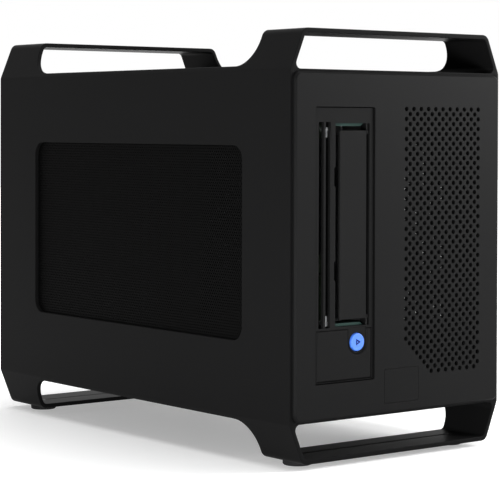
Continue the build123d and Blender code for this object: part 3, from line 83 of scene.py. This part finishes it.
class Wire:
    def __init__(self, paint, socket):
        self.paint = paint
        self.socket = socket

    def _math(self, operation, a, b):
        return self.paint.node("Math", {"operation": operation}, {0: a, 1: b})

    def __add__(self, other):
        return self._math("ADD", self, other)

    def __radd__(self, other):
        return self._math("ADD", other, self)

    def __rsub__(self, other):
        return self._math("SUBTRACT", other, self)

    def __mul__(self, other):
        return self._math("MULTIPLY", self, other)

    def __pow__(self, other):
        return self._math("POWER", self, other)

    def above(self, limit):
        return self._math("GREATER_THAN", self, limit)

    def below(self, limit):
        return self._math("LESS_THAN", self, limit)

    def most(self, other):
        return self._math("MAXIMUM", self, other)

    def ramp(self, low, high):
        """0 at low, 1 at high, smooth in between."""
        return self.paint.node("MapRange", {"interpolation_type": "SMOOTHSTEP"},
                               {"Value": self, "From Min": low, "From Max": high})


class Paint:
    def __init__(self, name, **fixed):
        self.material = bpy.data.materials.new(name)
        self.material.use_nodes = True
        self.tree = self.material.node_tree
        self.shader = self.tree.nodes["Principled BSDF"]
        for key, value in fixed.items():
            self.shader.inputs[key.replace("_", " ")].default_value = value
        self.place = self.node("TexCoord", out="Object")
        self.split = None

    def node(self, kind, settings=None, values=None, out=0):
        made = self.tree.nodes.new("ShaderNode" + kind)
        for key, value in (settings or {}).items():
            setattr(made, key, value)
        for key, value in (values or {}).items():
            self.feed(made.inputs[key], value)
        return Wire(self, made.outputs[out])

    def feed(self, socket, value):
        if isinstance(value, Wire):
            self.tree.links.new(value.socket, socket)
        else:
            socket.default_value = value

    def axis(self, name):
        if self.split is None:
            self.split = self.node("SeparateXYZ", None, {0: self.place}).socket.node
        return Wire(self, self.split.outputs[name])

    def stretched(self, scale):
        return self.node("VectorMath", {"operation": "MULTIPLY"}, {0: self.place, 1: scale})

    def noise(self, scale, detail=2.0, rough=0.5, stretch=(1, 1, 1)):
        place = self.place if stretch == (1, 1, 1) else self.stretched(stretch)
        return self.node("TexNoise", None,
                         {"Vector": place, "Scale": scale, "Detail": detail, "Roughness": rough})

    def cells(self, scale):
        return self.node("TexVoronoi", None, {"Vector": self.place, "Scale": scale}, out="Distance")

    def mix(self, mask, one, other):
        made = self.tree.nodes.new("ShaderNodeMix")
        made.data_type = "RGBA"
        self.feed(made.inputs["Factor"], mask)
        self.feed(made.inputs[6], one)
        self.feed(made.inputs[7], other)
        return Wire(self, made.outputs[2])

    def set(self, **links):
        for key, value in links.items():
            self.feed(self.shader.inputs[key.replace("_", " ")], value)

    def bump(self, height, distance):
        self.set(Normal=self.node("Bump", None, {"Height": height, "Distance": distance}, out="Normal"))


def shade(colour, factor=1.0):
    return tuple(c * factor for c in colour) + (1.0,)


# Finishes: the scales are in waves per metre, the bumps' heights in metres

FACE_ON = (0.3, 0.3, 0.3, 1)     # a matt black coat hardly reflects face on, but still does at a low angle
GRAIN = 0.00002
PITS = 0.00003
SMOOTH = 0.00001
TRACK = 0.64                     # mm, half the pitch of the copper tracks
TRACK_EDGE = 0.36
TINNED = (0.55, 0.56, 0.54)


def powder_coat(name, colour, rough, specular, grain=GRAIN):
    """Fine matt coat on aluminium: a tight orange peel, faint clouds in colour and gloss."""
    paint = Paint(name, Specular_IOR_Level=specular, Specular_Tint=FACE_ON)
    clouds = paint.noise(9.0, 3.0)
    fine = paint.noise(1500.0, 2.0, 0.6)
    speck = paint.noise(5200.0, 1.0)
    tone = clouds * 0.7 + fine * 0.3
    paint.set(Base_Color=paint.mix(tone, shade(colour, 0.82), shade(colour, 1.18)))
    paint.set(Roughness=rough - 0.05 + clouds * 0.08 + speck * 0.05)
    paint.bump(fine * 0.7 + speck * 0.3, grain)
    return paint.material


def moulded(name, colour, rough, specular, grain=PITS):
    """Spark-eroded plastic: a fine leathery pit pattern."""
    paint = Paint(name, Specular_IOR_Level=specular)
    pits = paint.cells(2200.0)
    clouds = paint.noise(30.0, 3.0)
    paint.set(Base_Color=paint.mix(clouds, shade(colour, 0.88), shade(colour, 1.12)))
    paint.set(Roughness=rough - 0.06 + clouds * 0.06 + pits * 0.1)
    paint.bump(pits, grain)
    return paint.material


def sheet_steel(name, colour, rough, brushed=(1, 0.03, 1)):
    """Zinc-plated sheet, brushed along one axis, with the plating's soft mottling."""
    paint = Paint(name, Metallic=1.0)
    lines = paint.noise(1800.0, 3.0, 0.6, brushed)
    spangle = paint.noise(60.0, 4.0, 0.6)
    paint.set(Base_Color=paint.mix(lines * 0.5 + spangle * 0.5, shade(colour, 0.8), shade(colour, 1.15)))
    paint.set(Roughness=rough - 0.08 + lines * 0.12 + spangle * 0.06)
    paint.bump(lines, SMOOTH)
    return paint.material


def cast_metal(name, colour, rough):
    """Die casting: a rough skin with clouds."""
    paint = Paint(name, Metallic=1.0)
    skin = paint.noise(700.0, 4.0, 0.65)
    clouds = paint.noise(25.0, 3.0)
    paint.set(Base_Color=paint.mix(skin * 0.5 + clouds * 0.5, shade(colour, 0.75), shade(colour, 1.15)))
    paint.set(Roughness=rough - 0.1 + skin * 0.2)
    paint.bump(skin, 0.00006)
    return paint.material


def turned_metal(name, colour, rough):
    """Screws, pins and wire: fine rings from the tool."""
    paint = Paint(name, Metallic=1.0)
    rings = paint.noise(2600.0, 2.0, 0.5, (1, 0.2, 1))
    paint.set(Base_Color=paint.mix(rings, shade(colour, 0.85), shade(colour, 1.1)))
    paint.set(Roughness=rough - 0.06 + rings * 0.14)
    paint.bump(rings, 0.000006)
    return paint.material


def rubber(name, colour):
    """Soft foot with a little dust in its grain."""
    paint = Paint(name, Specular_IOR_Level=0.2)
    grain = paint.noise(1600.0, 3.0)
    dust = paint.noise(90.0, 4.0).ramp(0.45, 0.75)
    paint.set(Base_Color=paint.mix(dust, shade(colour), shade(colour, 1.6)))
    paint.set(Roughness=0.75 + grain * 0.12)
    paint.bump(grain, 0.00004)
    return paint.material


def circuit_board(name, mask_colour, flat_axis, pad_colour=TINNED):
    """Solder mask over copper tracks, with tinned pads; the tracks run across the board's own plane."""
    paint = Paint(name, Specular_IOR_Level=0.4)
    u, v = [paint.axis(a) for a in "XYZ" if a != flat_axis]
    wave_u = paint.node("Math", {"operation": "PINGPONG"}, {0: u * (1 / MM), 1: TRACK})
    wave_v = paint.node("Math", {"operation": "PINGPONG"}, {0: v * (1 / MM), 1: TRACK})
    choose = paint.noise(70.0, 0.0).above(0.5)
    tracks = wave_u.above(TRACK_EDGE) * choose + wave_v.above(TRACK_EDGE) * (1.0 - choose)
    area = paint.noise(120.0, 1.0).ramp(0.42, 0.5)
    tracks = tracks * area
    pads = paint.cells(420.0).below(0.22) * (1.0 - area)
    green = paint.mix(tracks * 0.8, shade(mask_colour), shade(mask_colour, 1.7))
    paint.set(Base_Color=paint.mix(pads, green, shade(pad_colour)))
    paint.set(Roughness=0.38 - pads * 0.1)
    paint.bump(tracks + pads, PITS)
    return paint.material


FINISH = {
    "case": powder_coat("case_coat", (0.0058, 0.0058, 0.0059), 0.42, 0.025),
    "plate": powder_coat("plate_coat", (0.0058, 0.0058, 0.0059), 0.42, 0.06),
    "mesh": powder_coat("mesh_coat", (0.0026, 0.0026, 0.0026), 0.45, 0.025),
    "rear": powder_coat("rear_coat", (0.0052, 0.0052, 0.0053), 0.5, 0.06),
    "badge": powder_coat("badge_anodised", (0.0056, 0.0056, 0.0057), 0.42, 0.06, SMOOTH),
    "rubber": rubber("foot_rubber", (0.008, 0.008, 0.0085)),
    "steel": sheet_steel("zinc_sheet", (0.52, 0.53, 0.54), 0.38),
    # The drive covers are darkened well below bare zinc: painted shade for the dim inside of the case, where
    # lamp light through the mesh holes would otherwise land on them in spots.
    "cover": sheet_steel("drive_cover_sheet_painted_shade", (0.16, 0.16, 0.165), 0.5, brushed=(1, 1, 0.03)),
    "screw": turned_metal("screw_steel", (0.50, 0.50, 0.51), 0.34),
    "dark_screw": turned_metal("screw_black_zinc", (0.012, 0.012, 0.012), 0.45),
    "cast": cast_metal("die_cast", (0.16, 0.16, 0.165), 0.55),
    "bezel": moulded("bezel_plastic", (0.0062, 0.0062, 0.0063), 0.5, 0.03),
    "panel": moulded("panel_plastic", (0.0060, 0.0060, 0.0061), 0.5, 0.03),
    "door": moulded("door_plastic", (0.0070, 0.0070, 0.0071), 0.48, 0.03),
    "blue": moulded("button_plastic", (0.055, 0.17, 0.66), 0.3, 0.35, SMOOTH),
    "teal": moulded("guide_plastic", (0.024, 0.048, 0.042), 0.45, 0.06),
    "black": moulded("black_plastic", (0.009, 0.009, 0.010), 0.55, 0.3),
    "ivory": moulded("acetal_plastic", (0.62, 0.61, 0.57), 0.35, 0.4, SMOOTH),
    "copper": turned_metal("copper_wire", (0.80, 0.42, 0.24), 0.35),
    "brass": turned_metal("brass_turned", (0.75, 0.56, 0.28), 0.3),
    "upright_board": circuit_board("board_upright", (0.010, 0.075, 0.035), "X"),
    "front_board": circuit_board("board_front", (0.006, 0.010, 0.005), "X", (0.03, 0.03, 0.02)),
    "level_board": circuit_board("board_level", (0.010, 0.075, 0.035), "Z"),
    "mark": moulded("mark_ink", (0.003, 0.010, 0.09), 0.5, 0.05, SMOOTH),
}

NODE_FINISH = {
    "case": ["outer_shell"],
    "plate": ["front_plate"],
    # The drive cradle is steel, but takes the black coat here: painted shade, so that it stays dark inside
    # the case where lamp light through the mesh would catch it.
    "rear": ["rear_panel", "front_frame", "rear_frame", "psu_case", "psu_cover", "board_bracket",
             "drive_cradle"],
    "badge": ["badge_plate"],
    "rubber": ["foot_front_left", "foot_front_right", "foot_rear_left", "foot_rear_right"],
    "steel": ["slot_clips", "cartridge_tray", "head_guide", "threader_rail", "data_sockets", "loader_motor"],
    "cover": ["drive_left_cover", "drive_right_cover"],
    "screw": ["plate_nuts", "cradle_screws", "cover_screws", "roller_pins", "head_screw", "head_motor"],
    "dark_screw": ["rear_screws", "foot_screws", "door_hinge_pins"],
    "cast": ["drive_chassis", "tape_head"],
    "bezel": ["drive_bezel"],
    "panel": ["button_panel"],
    "door": ["cartridge_door"],
    "blue": ["eject_button"],
    "teal": ["mouth_guides"],
    "black": ["threader", "psu_fan_frame", "psu_fan_rotor", "power_entry", "power_rocker", "rear_fan_frame",
              "rear_fan_rotor", "inner_cables", "left_mesh", "right_mesh"],
    "ivory": ["supply_hub", "takeup_reel", "guide_roller_1", "guide_roller_2", "guide_roller_3",
              "guide_roller_4"],
    "copper": ["reel_motors"],
    "brass": ["loader_screw"],
    "upright_board": ["main_board", "bridge_board"],
    "front_board": ["front_boards"],
    "level_board": ["psu_board"],
}


def paint_nodes():
    for look, names in NODE_FINISH.items():
        for name in names:
            mesh = NODES[name].data
            mesh.materials.clear()
            mesh.materials.append(FINISH[look])


# Making and finishing a piece

def deselect():
    if bpy.context.mode != "OBJECT":
        bpy.ops.object.mode_set(mode="OBJECT")
    bpy.ops.object.select_all(action="DESELECT")


def take(piece):
    deselect()
    piece.select_set(True)
    bpy.context.view_layer.objects.active = piece


def edit(piece, kind="FACE"):
    take(piece)
    bpy.ops.object.mode_set(mode="EDIT")
    bpy.ops.mesh.select_mode(type=kind)
    bpy.ops.mesh.select_all(action="SELECT")


def apply_modifier(piece, kind, **settings):
    take(piece)
    modifier = piece.modifiers.new(kind.lower(), kind)
    for key, value in settings.items():
        setattr(modifier, key, value)
    bpy.ops.object.modifier_apply(modifier=modifier.name)


def finish(piece, name, look, body, replaces=()):
    """Settle a made piece at the origin, give it its finish and let it ride on its body."""
    take(piece)
    bpy.ops.object.transform_apply(location=True, rotation=True, scale=True)
    piece.name = name
    piece.data.name = name
    piece.data.materials.clear()
    piece.data.materials.append(FINISH[look])
    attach(piece, body)
    if replaces:
        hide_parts(*replaces)
    return piece


# Eased copies: the real edges are broken by a fraction of a millimetre, and catch the light

WELD = 0.002 * MM       # corners closer than this are one
SHARP = 35              # degrees: a turn that counts as an edge


def eased(node, look, width, body="case", segments=2):
    mesh = NODES[node].data.copy()
    piece = bpy.data.objects.new(node, mesh)
    bpy.context.scene.collection.objects.link(piece)
    edit(piece)
    bpy.ops.mesh.remove_doubles(threshold=WELD)
    bpy.ops.object.mode_set(mode="OBJECT")
    apply_modifier(piece, "BEVEL", width=width * MM, segments=segments, limit_method="ANGLE",
                   angle_limit=radians(SHARP), use_clamp_overlap=False, miter_outer="MITER_ARC")
    take(piece)
    bpy.ops.object.shade_smooth()
    apply_modifier(piece, "WEIGHTED_NORMAL", keep_sharp=False, weight=80)
    return finish(piece, f"{node}_eased", look, body, [node])


# Window meshes: one cell of the punched pattern, repeated and given the sheet's thickness

CELL = 1.82 * MM        # from hole to hole
HOLE = 0.62 * MM        # from a hole's middle to its corners
ROW = CELL * sqrt(3) / 2
RIM = 2 * MM            # left without holes at each edge of the sheet
SHEET_PARTS = ("front", "middle", "back")


def mesh_sheets():
    low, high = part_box("left_mesh")
    thick = high.x - low.x
    columns = int((high.y - low.y - 2 * RIM) / CELL / len(SHEET_PARTS))
    rows = int((high.z - low.z - 2 * RIM) / ROW / 2)
    deselect()
    bpy.ops.mesh.primitive_circle_add(vertices=6, radius=HOLE, fill_type="NOTHING",
                                      rotation=(0, radians(90), 0))
    sheet = bpy.context.object
    take(sheet)
    bpy.ops.object.transform_apply(rotation=True)
    edit(sheet, "EDGE")
    bpy.ops.mesh.extrude_region_move()
    grow = CELL / sqrt(3) / HOLE
    bpy.ops.transform.resize(value=(grow, grow, grow), center_override=(0, 0, 0))
    bpy.ops.object.mode_set(mode="OBJECT")
    for count, offset in ((columns, (0, CELL, 0)), (2, (0, CELL / 2, ROW)), (rows, (0, 0, 2 * ROW))):
        apply_modifier(sheet, "ARRAY", count=count, use_relative_offset=False, use_constant_offset=True,
                       constant_offset_displace=offset, use_merge_vertices=True, merge_threshold=CELL / 100)
    apply_modifier(sheet, "WELD", merge_threshold=CELL / 100)
    edit(sheet)
    bpy.ops.mesh.normals_make_consistent(inside=False)
    bpy.ops.object.mode_set(mode="OBJECT")
    apply_modifier(sheet, "SOLIDIFY", thickness=thick, offset=0.0)
    edit(sheet)
    bpy.ops.mesh.normals_make_consistent(inside=False)
    bpy.ops.object.mode_set(mode="OBJECT")
    start_y = (low.y + high.y) / 2 - len(SHEET_PARTS) * columns * CELL / 2 + CELL / 2
    start_z = (low.z + high.z) / 2 - (rows - 0.5) * ROW
    for node in ("left_mesh", "right_mesh"):
        node_low, node_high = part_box(node)
        for count, part in enumerate(SHEET_PARTS):
            piece = sheet.copy()
            piece.data = sheet.data.copy()
            bpy.context.scene.collection.objects.link(piece)
            shift = count * columns * CELL
            piece.location = ((node_low.x + node_high.x) / 2, start_y + shift, start_z)
            finish(piece, f"{node}_{part}", "mesh", "case", [node])
    bpy.data.objects.remove(sheet)


# Eject button: the cap with a broken edge and a ring of shadow round it, and a slim triangle set into it

CAP_IN = 0.35 * MM      # how much less it stands out than the solid does
CAP_SHRINK = 0.955
MARK_R = 2.1 * MM       # from the triangle's middle to its corners
MARK_LINE = 0.7 * MM
MARK_T = 0.08 * MM
MARK_SIDE = 0.1 * MM    # to the left of the cap's middle, where a triangle looks centred
MARK_PROUD = 0.02 * MM


def button_cap():
    low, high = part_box("eject_button")
    rear = ((low.x + high.x) / 2, high.y, (low.z + high.z) / 2)
    depth = high.y - low.y
    cap = eased("eject_button", "blue", 0.35, body="eject_button", segments=3)
    edit(cap)
    bpy.ops.transform.resize(value=(CAP_SHRINK, 1 - CAP_IN / depth, CAP_SHRINK), center_override=rear)
    bpy.ops.object.mode_set(mode="OBJECT")


def button_mark():
    low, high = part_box("eject_button")
    centre = Vector(((low.x + high.x) / 2, low.y, (low.z + high.z) / 2))
    deselect()
    bpy.ops.mesh.primitive_circle_add(vertices=3, radius=MARK_R, fill_type="NGON")
    mark = bpy.context.object
    edit(mark)
    bpy.ops.mesh.inset(thickness=MARK_LINE, depth=0)
    bpy.ops.mesh.delete(type="FACE")
    bpy.ops.object.mode_set(mode="OBJECT")
    apply_modifier(mark, "SOLIDIFY", thickness=MARK_T, offset=0.0)
    mark.rotation_euler = (radians(90), radians(90), 0)
    mark.location = centre + Vector((-MARK_SIDE, CAP_IN - MARK_PROUD, 0))
    finish(mark, "button_mark", "mark", "eject_button")


# Floor, background and lamps

FLOOR_SIZE = 8.0
PAPER_DARK = (0.80, 0.80, 0.80, 1)
PAPER_LIGHT = (0.82, 0.82, 0.82, 1)
FLOOR_GLOW = 0.3
GLOW_FADE = (0.08, 0.45)     # where the floor turns into plain white, in metres from the middle
SKY_LIGHT = 0.2              # what the white background gives to the object; to the eye it is 1
LAMPS = [                    # name, place, what it points at, size, watts
    ("top_softbox", (0.0, 0.0, 1.4), (0, 0, 0.12), (1.2, 1.2), 16.0),
    ("left_low_strip", (-0.55, -0.5, 0.06), (-0.08, 0.0, 0.10), (0.3, 0.1), 4.5),
    ("front_right_panel", (0.75, -0.55, 0.45), (0, 0, 0.12), (0.35, 0.5), 10.0),
    ("front_right_far", (0.9, -1.1, 0.35), (0, 0, 0.12), (0.7, 0.7), 3.0),
]


def lay_floor():
    deselect()
    bpy.ops.mesh.primitive_plane_add(size=FLOOR_SIZE, location=(0, 0, 0))
    floor = bpy.context.object
    floor.name = "floor"
    paint = Paint("floor_paper", Roughness=0.6, Specular_IOR_Level=0.25)
    paint.set(Base_Color=paint.mix(paint.noise(300.0, 2.0), PAPER_DARK, PAPER_LIGHT))
    x, y = paint.axis("X"), paint.axis("Y")
    away = ((x * x + y * y) ** 0.5).ramp(*GLOW_FADE)
    glow = paint.node("Emission", None, {"Color": away * (1 - FLOOR_GLOW) + FLOOR_GLOW})
    paper = Wire(paint, paint.shader.outputs[0])
    joined = paint.node("AddShader", None, {0: paper, 1: glow})
    seen = paint.node("LightPath", out="Is Camera Ray").most(paint.node("LightPath", out="Is Glossy Ray"))
    seen = seen.most(paint.node("LightPath", out="Is Transmission Ray"))
    mixed = paint.node("MixShader", None, {0: seen, 1: paper, 2: joined})
    paint.tree.links.new(mixed.socket, paint.tree.nodes["Material Output"].inputs["Surface"])
    floor.data.materials.append(paint.material)


def set_background():
    world = bpy.data.worlds.new("studio")
    world.use_nodes = True
    bpy.context.scene.world = world
    tree = world.node_tree
    background = tree.nodes["Background"]
    background.inputs["Color"].default_value = (1, 1, 1, 1)
    rays = tree.nodes.new("ShaderNodeLightPath")
    seen = rays.outputs["Is Camera Ray"]
    for kind in ("Is Glossy Ray", "Is Transmission Ray"):
        either = tree.nodes.new("ShaderNodeMath")
        either.operation = "MAXIMUM"
        tree.links.new(seen, either.inputs[0])
        tree.links.new(rays.outputs[kind], either.inputs[1])
        seen = either.outputs[0]
    level = tree.nodes.new("ShaderNodeMapRange")
    level.inputs["To Min"].default_value = SKY_LIGHT
    level.inputs["To Max"].default_value = 1.0
    tree.links.new(seen, level.inputs["Value"])
    tree.links.new(level.outputs[0], background.inputs["Strength"])


def hang_lamps():
    for name, place, target, size, power in LAMPS:
        data = bpy.data.lights.new(name, "AREA")
        data.shape = "RECTANGLE"
        data.size, data.size_y = size
        data.energy = power
        lamp = bpy.data.objects.new(name, data)
        bpy.context.scene.collection.objects.link(lamp)
        aim = (Vector(target) - Vector(place)).to_track_quat("-Z", "Y")
        lamp.matrix_world = Matrix.Translation(place) @ aim.to_matrix().to_4x4()


set_camera()
paint_nodes()
eased("outer_shell", "case", 0.35)
eased("drive_bezel", "bezel", 0.15)
eased("button_panel", "panel", 0.12)
eased("cartridge_door", "door", 0.12, body="cartridge_door")
mesh_sheets()
button_cap()
button_mark()
lay_floor()
set_background()
hang_lamps()
bpy.context.scene.view_settings.view_transform = "Standard"
